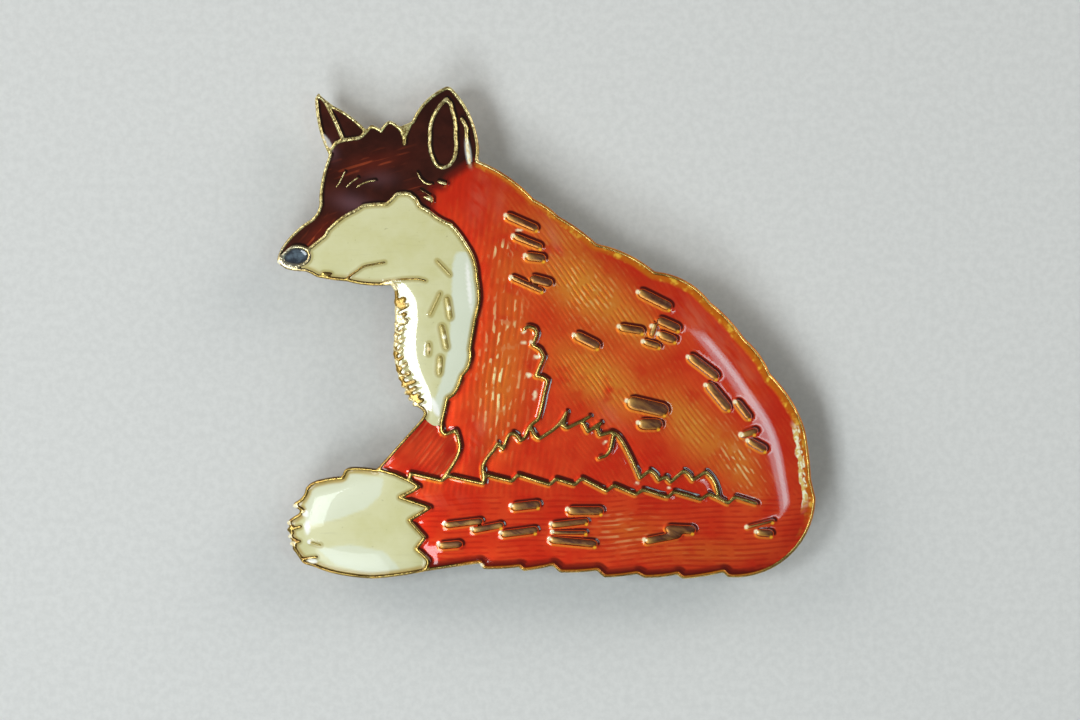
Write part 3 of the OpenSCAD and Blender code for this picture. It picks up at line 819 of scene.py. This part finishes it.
class Shader:
    """A material's node tree with a running colour, and short calls for the nodes used here."""

    def __init__(self, name):
        self.material = bpy.data.materials.new(name)
        self.material.use_nodes = True
        self.tree = self.material.node_tree
        self.base = self.tree.nodes["Principled BSDF"]
        self.colour = None
        place = self.node("TexCoord").outputs["Object"]
        self.place = self.node("VectorMath", {0: place, "Scale": 1 / MM}, operation="SCALE").outputs[0]

    def node(self, kind, inputs=(), **settings):
        """A new node with its settings and then its inputs, by name or number."""
        made = self.tree.nodes.new("ShaderNode" + kind)
        for key, value in settings.items():
            setattr(made, key, value)
        for key, value in dict(inputs).items():
            self.feed(made.inputs[key], value)
        return made

    def feed(self, socket, value):
        """Links a socket to another, or sets it to a named tone or a plain value."""
        if isinstance(value, bpy.types.NodeSocket):
            self.tree.links.new(value, socket)
        else:
            socket.default_value = tone(value) if isinstance(value, str) else value

    def math(self, operation, a, b=0.0, clamp=False):
        return self.node("Math", {0: a, 1: b}, operation=operation, use_clamp=clamp).outputs[0]

    def plus(self, a, b):
        return self.math("ADD", a, b)

    def minus(self, a, b, clamp=False):
        return self.math("SUBTRACT", a, b, clamp)

    def times(self, a, b, clamp=False):
        return self.math("MULTIPLY", a, b, clamp)

    def most(self, a, b):
        return self.math("MAXIMUM", a, b)

    def __getitem__(self, name):
        """A field of the mesh."""
        return self.node("Attribute", attribute_name=name).outputs["Fac"]

    def turned(self, degrees, along=1, across=1):
        """The place in millimetres, turned about Z and then stretched."""
        angle = math.radians(-degrees)
        turn = self.node("VectorRotate", {"Vector": self.place, "Angle": angle}, rotation_type="Z_AXIS")
        stretch = {0: turn.outputs[0], 1: (along, across, 1)}
        return self.node("VectorMath", stretch, operation="MULTIPLY").outputs[0]

    def noise(self, scale, detail=2.0, roughness=0.5, place=None):
        """Noise with so many cells to a millimetre, or to a unit of another place."""
        inputs = {"Vector": place or self.place, "Scale": scale, "Detail": detail, "Roughness": roughness}
        return self.node("TexNoise", inputs).outputs["Fac"]

    def ramp(self, value, low, high):
        """Zero up to low, one from high on, smooth between; low may be above high."""
        inputs = {"Value": value, "From Min": low, "From Max": high}
        return self.node("MapRange", inputs, interpolation_type="SMOOTHSTEP").outputs["Result"]

    def fall(self, value, low, high):
        """One up to low, zero from high on, smooth between."""
        return self.minus(1.0, self.ramp(value, low, high))

    def mix(self, share, a, b, kind="RGBA"):
        """A colour between two colours or tones, or a number for the kind FLOAT."""
        return self.node("Mix", {"Factor": share, "A": a, "B": b}, data_type=kind).outputs["Result"]

    def paint(self, share, colour, strength=1.0):
        """Lays a colour or named tone over the running colour."""
        if strength != 1.0:
            share = self.times(share, strength)
        self.colour = self.mix(share, self.colour, colour)

    def bump(self, height, distance, strength=1.0):
        inputs = {"Height": height, "Distance": distance * MM, "Strength": strength}
        return self.node("Bump", inputs).outputs["Normal"]

    def finish(self, **sockets):
        """The material, with the running colour and values for sockets named in lower case."""
        self.feed(self.base.inputs["Base Color"], self.colour)
        for name, value in sockets.items():
            self.feed(self.base.inputs[name.replace("_", " ").title().replace("Ior", "IOR")], value)
        return self.material

    def under_glass(self, **sockets):
        """The material as enamel: no shine of its own under a smooth clear coat."""
        return self.finish(specular_ior_level=0.0, coat_weight=1.0, coat_roughness=0.05, coat_ior=1.55,
                           **sockets)


def tone(name):
    """A named tone as linear red, green, blue and alpha."""
    def linear(value):
        value /= 255
        return value / 12.92 if value <= 0.04045 else ((value + 0.055) / 1.055) ** 2.4
    return (*(linear(value) for value in TONES[name]), 1.0)


def wall_light(s, name, full, width):
    """Painted light (plus) on the light side and painted shade (minus) on the dark side of the enamel beside
    a wall.
    """
    toward = s.plus(s.times(s[name + "_x"], -GLEAM[0]), s.times(s[name + "_y"], -GLEAM[1]))
    return s.times(toward, s.fall(s[name + "_gap"], full, width))


def engraving(s, part):
    """Engraved lines of a part: their height and the painted highlight dashes along their crests."""
    turn, spacing, highlight_dash = ENGRAVINGS[part]
    warp = s.times(s.noise(0.13, 1.0), 1.1)
    across = s.plus(s.node("SeparateXYZ", {0: s.turned(turn)}).outputs["Y"], warp)
    wave = s.math("SINE", s.times(across, 2 * math.pi / spacing))
    wave = s.times(wave, s.ramp(s.noise(1.0, 1.0, place=s.turned(turn, 0.8, 0.5)), 0.3, 0.6))
    dashes = s.noise(1.0, 1.0, place=s.turned(turn, 1 / highlight_dash, 1 / spacing))
    return wave, s.times(s.ramp(wave, -0.2, 0.6), s.ramp(dashes, 0.52, 0.62))


def red_engraving(s):
    """The red enamel's engraving and its painted highlight dashes, which turn from neck to haunch to tail."""
    pairs = [engraving(s, part) for part in ("haunch", "neck", "tail")]
    on_neck, on_tail = s["neck"], s["tail"]
    return [s.mix(on_tail, s.mix(on_neck, haunch, neck, "FLOAT"), tail, "FLOAT")
            for haunch, neck, tail in zip(*pairs)]


def red_ground(s, wave, highlight_dash):
    """Red with a painted golden glow, dark grooves, painted highlight dashes and sparks, and pale painted
    reflections.
    """
    glow = s["glow"]
    s.colour = s.mix(s.ramp(s.noise(0.25, 3.0, 0.6), 0.35, 0.7), "red", "orange_red")
    painted_glow_zone = s.times(glow, s.ramp(s.noise(0.5), 0.15, 0.5))
    s.paint(painted_glow_zone, "painted_golden_glow")
    s.paint(s.times(s.ramp(wave, 0.3, -0.8), s.plus(s.times(painted_glow_zone, 0.42), 0.12)), "groove")
    s.paint(s.times(s.ramp(wave, 0.0, -0.7), s["tail"]), "tail_stroke", 0.38)
    s.paint(s.times(highlight_dash, s.plus(s.times(glow, 0.35), 0.03), clamp=True), "highlight_dash")
    # Pale painted reflections, broken up by noise
    clouds = s.noise(1.0, place=s.turned(-50, 0.4, 1.6))
    s.paint(s.times(s["reflection_veil"], s.ramp(clouds, 0.3, 0.6)), "reflection_veil", 0.5)
    s.paint(s.times(highlight_dash, s["spark"], clamp=True), "spark")


def red_edges(s):
    """Painted shade and painted light on the enamel beside the walls, painted shade on the rim's dark side,
    and a band of painted amber light with beads along the back's rim.
    """
    wall = wall_light(s, "wall", 0.04, 0.42)
    rim = wall_light(s, "rim", 0.55, 1.2)
    s.paint(s.ramp(wall, -0.1, -0.6), "red_shade")
    s.paint(s.ramp(wall, 0.25, 0.9), "red_gleam", 0.8)
    s.paint(s.ramp(rim, -0.15, -0.7), "rim_shade", 0.85)
    beads = s.noise(1.1, 2.0, 0.6)
    band = s.plus(rim, s.times(s.minus(beads, 0.5), 0.5))
    band = s.minus(band, s.times(s["slim"], 0.45))
    s.paint(s.ramp(band, 0.2, 0.9), s.mix(s.ramp(beads, 0.5, 0.7), "rim_light_amber", "rim_light_bead"))


def rump_light(s):
    """Two bright ragged lines of painted light from the metal near the rump's edge."""
    ragged = s.times(s.minus(s.noise(1.5, 1.0), 0.5), 0.5)
    gap = s.plus(s["rim_gap"], ragged)
    off = [s.math("ABSOLUTE", s.minus(gap, line)) for line in RUMP_LINES]
    first, second = s.fall(off[0], 0.16, 0.28), s.fall(off[1], 0.04, 0.16)
    both = s.most(first, s.times(second, s.ramp(s.noise(2.2, 1.0), 0.42, 0.56)))
    return s.times(both, s.ramp(s["rump"], 0.25, 0.7), clamp=True)


def red_enamel(name):
    """Translucent orange-red over engraved metal."""
    s = Shader(name)
    wave, highlight_dash = red_engraving(s)
    red_ground(s, wave, highlight_dash)
    red_edges(s)
    rump, shine = rump_light(s), s["shine"]
    # Painted light: the rump's bright lines, golden light at the tufts' lower ends and highlights
    s.paint(rump, s.mix(s.ramp(s.noise(2.6, 1.0), 0.4, 0.62), "rump_light_line", "rump_light_bead"))
    s.paint(s["ember"], "ember")
    s.paint(shine, "glint")
    s.paint(s.fall(s["seam_gap"], -0.1, 0.75), "seam")
    metal = s.times(s.minus(1.0, s.most(shine, rump)), 0.35)
    rough = s.plus(0.3, s.times(s.noise(1.4), 0.2))
    lines = s.times(wave, s.plus(s.times(s["glow"], 0.5), 0.15))
    return s.under_glass(metallic=metal, roughness=rough, normal=s.bump(lines, 0.025, 0.8))


def leg_enamel(name):
    """The far leg's red enamel, engraved along the leg."""
    s = Shader(name)
    wave, highlight_dash = engraving(s, "leg")
    s.colour = s.mix(s.ramp(s.noise(0.4), 0.35, 0.7), "leg_red", "leg_orange")
    # Painted highlight dashes on the crests
    s.paint(highlight_dash, "leg_highlight_dash", 0.3)
    # Painted shade and painted light beside the walls
    wall = wall_light(s, "wall", 0.04, 0.4)
    s.paint(s.ramp(wall, -0.1, -0.6), "leg_shade")
    s.paint(s.ramp(wall, 0.3, 0.9), "leg_gleam", 0.6)
    return s.under_glass(metallic=0.35, roughness=0.35, normal=s.bump(wave, 0.01, 0.4))


def brown_enamel(name):
    """Dark brown translucent enamel with a painted red glow and painted red streaks where light comes back,
    hazy painted reflections, painted shade beside the walls and painted highlights.
    """
    s = Shader(name)
    s.colour = s.mix(s.ramp(s.noise(0.35, 3.0, 0.6), 0.35, 0.7), "brown", "warm_brown")
    wave, highlight_dash = engraving(s, "brow")
    streak = s.mix(s["muzzle"], highlight_dash, engraving(s, "muzzle")[1], "FLOAT")
    glow = s["glow"]
    s.paint(glow, "brown_glow", 0.45)
    s.paint(s.times(glow, streak), "lit_brown_streak")
    s.paint(s["hazy_reflection"], "hazy_reflection", 0.7)
    s.paint(s.fall(s["seam_gap"], -0.1, 0.6), "seam")
    s.paint(s.ramp(wall_light(s, "wall", 0.04, 0.35), -0.1, -0.7), "brown_shade")
    s.paint(s["shine"], "brown_glint", 0.8)
    return s.under_glass(metallic=0.2, roughness=0.4, normal=s.bump(s.times(wave, glow), 0.02, 0.5))


def cream_enamel(name, gloss=1.0, rim_gold=0.4):
    """Opaque cream enamel with faint clouds and specks, painted reflections of cool sheets, olive painted
    shade beside the walls, golden along the rim, and painted highlights.
    """
    s = Shader(name)
    clouds = s.noise(0.3, 4.0, 0.6)
    s.colour = s.mix(s.ramp(clouds, 0.3, 0.7), "cream", "pale_cream")
    fine = s.noise(1.0, 3.0, place=s.turned(0, 0.5, 4.0))
    s.paint(s.ramp(fine, 0.55, 0.8), "cream_streak", 0.25)
    s.paint(s.ramp(s.noise(3.2, 1.0), 0.72, 0.8), "cream_speck", 0.35)
    s.paint(s["sheet_reflection"], "cool_sheet_reflection", 0.85)
    # Olive painted shade beside the walls
    s.paint(s.fall(s["wall_gap"], 0.06, 0.3), "cream_wall_shade", 0.8)
    rim = s.mix(clouds, "cream_rim", "pale_cream_rim")
    s.paint(s.fall(s["rim_gap"], 0.42, 0.78), rim, rim_gold)
    s.paint(s["shine"], "cream_glint")
    rough = s.plus(0.25, s.times(clouds, 0.15))
    return s.finish(metallic=0.0, roughness=rough, normal=s.bump(s.noise(1.2, 3.0), 0.02, 0.3),
                    coat_weight=gloss, coat_roughness=0.03, coat_ior=1.55)


def slate_enamel(name):
    """Grey-blue mottled enamel of the nose."""
    s = Shader(name)
    mottle = s.noise(1.6, 4.0, 0.7)
    s.colour = s.mix(s.ramp(mottle, 0.3, 0.7), "slate", "pale_slate")
    # Painted shade beside the walls
    s.paint(s.fall(s["wall_gap"], 0.02, 0.25), "slate_shade", 0.6)
    return s.finish(metallic=0.25, roughness=0.45, specular_ior_level=0.2,
                    normal=s.bump(mottle, 0.03, 0.4), coat_weight=1.0, coat_roughness=0.04)


def gold_ground(s, broad, stain):
    """Olive gold with stains, painted light on one side and painted shade on the other, pale on the head and
    painted amber light on the back's rim.
    """
    lit = s["lit"]
    s.colour = s.mix(broad, "gold", "olive_gold")
    s.paint(s.ramp(s.noise(0.9), 0.45, 0.65), "stain", stain)
    patches = s.ramp(s.noise(0.9, 1.0), 0.47, 0.64)
    s.paint(s.times(patches, s.ramp(lit, 0.05, 0.5)), "gold_gleam")
    s.paint(s.ramp(lit, -0.05, -0.6), "gold_shade", 0.75)
    s.paint(s["pale"], s.mix(broad, "pale_gold", "dull_pale_gold"))
    # Painted amber light along the back's rim
    s.paint(s["painted_rim_light"], s.mix(broad, "rim_light_gold", "dull_rim_light_gold"))


def gold_tufts(s):
    """Dark tufts with an end lightened by painted light, painted light and shade on their sides, and the
    bib's pale drops with painted light and shade.
    """
    tuft, lit = s["tuft"], s["lit"]
    streaks = s.ramp(s.noise(1.0, place=s.turned(-28, 0.7, 2.6)), 0.35, 0.65)
    s.paint(tuft, s.mix(streaks, "tuft", "tuft_streak"))
    s.paint(s.times(tuft, s["lit_end"]), "tuft_lit_end")
    s.paint(s.times(tuft, s.ramp(lit, 0.25, 0.8)), "tuft_gleam")
    s.paint(s.times(tuft, s.ramp(lit, -0.1, -0.6)), "tuft_shade")
    creep = s.plus(s["brink"], s.noise(2.4, 1.0))
    s.paint(s.times(tuft, s.ramp(creep, 1.0, 1.35)), "red_creep")
    bright = s.mix(s.ramp(lit, 0.1, 0.6), "drop", "drop_gleam")
    s.paint(s["drop"], s.mix(s.ramp(lit, -0.1, -0.5), bright, "drop_shade"))


def gold_details(s, broad, fine, lobes):
    """Ticks on the head's lines, greyer metal at the nose, grain, the neck's lobes with painted highlights,
    painted golden light and painted highlight spots.
    """
    s.paint(s.times(s["pale"], s.ramp(s.noise(4.2, 1.0), 0.5, 0.57)), "tick", 0.8)
    s.paint(s["silver"], s.mix(broad, "silver", "deep_silver"))
    s.paint(s.ramp(fine, 0.55, 0.72), "grain", 0.4)
    s.paint(s["comb"], s.mix(lobes, "comb", "comb_lobe_highlight"))
    s.paint(s["ember"], "gold_ember")
    s.paint(s["shine"], s.mix(s.ramp(s.noise(3.0, 1.0), 0.36, 0.6), "warm_painted_highlight", "painted_highlight"))


def gold_dullness(s):
    """How far the metal reads as a plain colour and not as a mirror."""
    dull = s.plus(s.times(s["pale"], 0.15), s.times(s["painted_rim_light"], 0.4))
    dull = s.plus(dull, 0.18)
    dull = s.plus(dull, s.times(s.most(s["comb"], s["tuft"]), 0.45))
    return s.plus(dull, s.times(s["drop"], 0.75))


def gold_metal(name, rough_low, rough_high, grain, stain):
    """Gold-tone cast metal."""
    s = Shader(name)
    broad = s.ramp(s.noise(0.5, 3.0, 0.6), 0.3, 0.7)
    fine = s.noise(grain, 2.0, 0.6)
    lobes = s.ramp(s.noise(1.0, 1.0, place=s.turned(-25, 0.5, 1.7)), 0.42, 0.56)
    gold_ground(s, broad, stain)
    gold_tufts(s)
    gold_details(s, broad, fine, lobes)
    tuft = s["tuft"]
    rough = s.plus(rough_low, s.times(fine, rough_high - rough_low))
    rough = s.plus(rough, s.times(tuft, 0.16))
    rise = s.times(fine, s.minus(1.0, s.times(tuft, 0.8)))
    rise = s.plus(rise, s.times(s.times(s["comb"], lobes), 1.5))
    metal = s.minus(1.0, s.most(gold_dullness(s), s["shine"]), clamp=True)
    return s.finish(metallic=metal, roughness=rough, normal=s.bump(rise, 0.05, 0.7))


# The tail's tip is less glossy than other cream enamel and more golden along the rim
MAKERS = {
    "red": red_enamel,
    "leg": leg_enamel,
    "brown": brown_enamel,
    "cream": cream_enamel,
    "tip": lambda name: cream_enamel(name, gloss=0.25, rim_gold=0.9),
    "slate": slate_enamel,
}


# Assembly


def add_flow(obj, finish, shape):
    """Gives an enamel the fields that its material reads."""
    places = points_of(obj)[:, :2]
    add_field(obj, "shine", shine_at(shape, places))
    for name, spots in FLOWS.get(finish, {}).items():
        add_field(obj, name, glow_at(places, spots))
    for name, (way, low, high) in FADES.get(finish, {}).items():
        add_field(obj, name, 1 - smooth_share(places @ way, low, high))
    if finish == "red":
        add_field(obj, "ember", ember_at(shape, places))
    if finish in SHEET_SHARES:
        add_field(obj, "sheet_reflection", SHEET_SHARES[finish] * on_reflected_sheets(places))


def dress(obj, material, node):
    """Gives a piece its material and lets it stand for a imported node."""
    obj.data.materials.append(material)
    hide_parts(node)
    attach(obj, "root")


def dress_pin():
    """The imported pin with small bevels, in a duller gold."""
    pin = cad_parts["pin_back"]
    weld = pin.modifiers.new("weld", "WELD")
    weld.merge_threshold = WELD_REACH * MM
    bevel = pin.modifiers.new("bevel", "BEVEL")
    bevel.width = PIN_BEVEL * MM
    bevel.segments = 3
    bevel.limit_method = "ANGLE"
    bevel.angle_limit = math.radians(PIN_ANGLE)
    pin.data.materials.clear()
    pin.data.materials.append(gold_metal("pin_gold", 0.22, 0.42, grain=3.0, stain=0.2))


def build_object():
    shape = Shape()
    dress(build_casting(shape), gold_metal("cast_gold", 0.14, 0.34, grain=2.6, stain=0.6), "metal_body")
    materials = {}
    for name, finish in ENAMELS.items():
        glaze = build_enamel(shape, name)
        add_flow(glaze, finish, shape)
        if finish not in materials:
            materials[finish] = MAKERS[finish]("enamel_" + finish)
        dress(glaze, materials[finish], name)
    dress_pin()


# Setting


def add_floor():
    far = FLOOR_HALF * MM
    mesh = bpy.data.meshes.new("floor")
    mesh.from_pydata([(-far, -far, 0), (far, -far, 0), (far, far, 0), (-far, far, 0)], [], [(0, 1, 2, 3)])
    floor = add_object("floor", mesh)
    s = Shader("pale_floor")
    fine = s.noise(1.5, 4.0, 0.6)
    s.colour = s.mix(s.ramp(fine, 0.3, 0.7), "floor", "pale_floor")
    mesh.materials.append(s.finish(roughness=0.8, normal=s.bump(fine, 0.02, 0.2)))


def add_light(name, place, along, size, power, colour):
    """A soft rectangular light that aims at the brooch, with its first side along a direction."""
    data = bpy.data.lights.new(name, "AREA")
    data.shape = "RECTANGLE"
    data.size, data.size_y = (side * MM for side in size)
    data.energy = power
    data.color = colour
    back = (Vector(place) - Vector(LIGHT_AIM)).normalized()
    first = (Vector(along) - back * back.dot(Vector(along))).normalized()
    axes = Matrix((first, back.cross(first), back)).transposed().to_4x4()
    axes.translation = Vector(place) * MM
    add_object(name, data).matrix_world = axes


def add_camera():
    """Straight above the face, framed as the photograph."""
    centre = photo_place(PHOTO_SIZE[0] / 2, PHOTO_SIZE[1] / 2) * MM
    data = bpy.data.cameras.new("camera")
    data.lens = data.sensor_width * CAMERA_HEIGHT / (PHOTO_SIZE[0] * MM_PER_PX)
    camera = add_object("camera", data)
    camera.location = (*centre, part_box("metal_body")[1].z + CAMERA_HEIGHT * MM)
    bpy.context.scene.camera = camera


def add_world():
    world = bpy.data.worlds.new("studio")
    world.use_nodes = True
    background = world.node_tree.nodes["Background"]
    background.inputs["Color"].default_value = WORLD_COLOUR
    background.inputs["Strength"].default_value = 1.0
    bpy.context.scene.world = world
    bpy.context.scene.view_settings.view_transform = "Standard"


build_object()
add_floor()
add_camera()
for light in LIGHTS:
    add_light(*light)
add_world()
bpy.context.view_layer.update()
